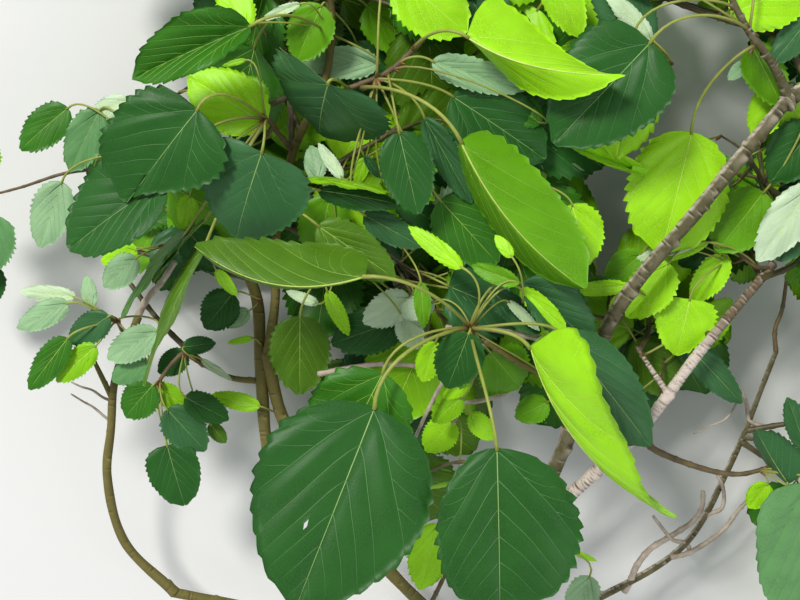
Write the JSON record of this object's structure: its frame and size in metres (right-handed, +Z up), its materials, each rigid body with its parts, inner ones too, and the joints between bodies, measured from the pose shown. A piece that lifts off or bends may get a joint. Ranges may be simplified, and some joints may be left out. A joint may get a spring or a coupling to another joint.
{
  "type": "leafy poplar branch",
  "caption": "Leafy poplar branch, cut and lying on the floor: limbs fork from one cut butt and carry coarse-toothed, broad leaves on long stalks.",
  "frame": {"origin": "middle of the branch's bounding box, on the floor that it lies on", "axes": "+Z up from the floor; +Y from the cut butt towards the leafy tips; +X along the widest spread, to the right as seen from above with the butt nearest"},
  "size_m": [0.7398, 0.6674, 0.271],
  "materials": {
    "bark_grey": "grey-brown young bark with dark ring scars and knobs",
    "bark_tan": "smooth tan twig bark with ring scars",
    "bark_pale": "pinkish-grey wrinkled bark",
    "leaf_deep": "deep green leaf, satin",
    "leaf_mid": "mid green leaf, satin",
    "leaf_bright": "bright sunlit green leaf, satin"
  },
  "bodies": {
    "root": {"limb_main": "bark_grey", "limb_right_upper": "bark_grey", "limb_right_tip": "bark_grey", "limb_right_top": "bark_tan", "limb_right_lower": "bark_pale", "limb_middle_lower": "bark_tan", "limb_middle_upper": "bark_tan", "limb_middle_left": "bark_tan", "limb_left_lower": "bark_tan", "limb_left_upper": "bark_tan", "shoot_low_right": "bark_grey", "shoot_low_edge": "bark_grey", "shoot_centre": "bark_tan", "shoot_right_inner": "bark_pale", "shoot_left_inner": "bark_tan", "shoot_left_outer": "bark_tan", "mass_centre_front": "leaf_mid", "mass_centre_low": "leaf_deep", "mass_centre_right": "leaf_bright", "mass_upper_left": "leaf_deep", "mass_upper_middle": "leaf_mid", "mass_centre_back": "leaf_mid", "mass_upper_right": "leaf_deep", "mass_right_inner": "leaf_bright", "mass_right_edge": "leaf_mid", "mass_low_right": "leaf_deep", "mass_left_inner": "leaf_deep", "mass_left_outer": "leaf_mid", "mass_left_edge": "leaf_deep", "mass_top": "leaf_deep", "mass_top_right": "leaf_bright"}
  },
  "joints": []
}
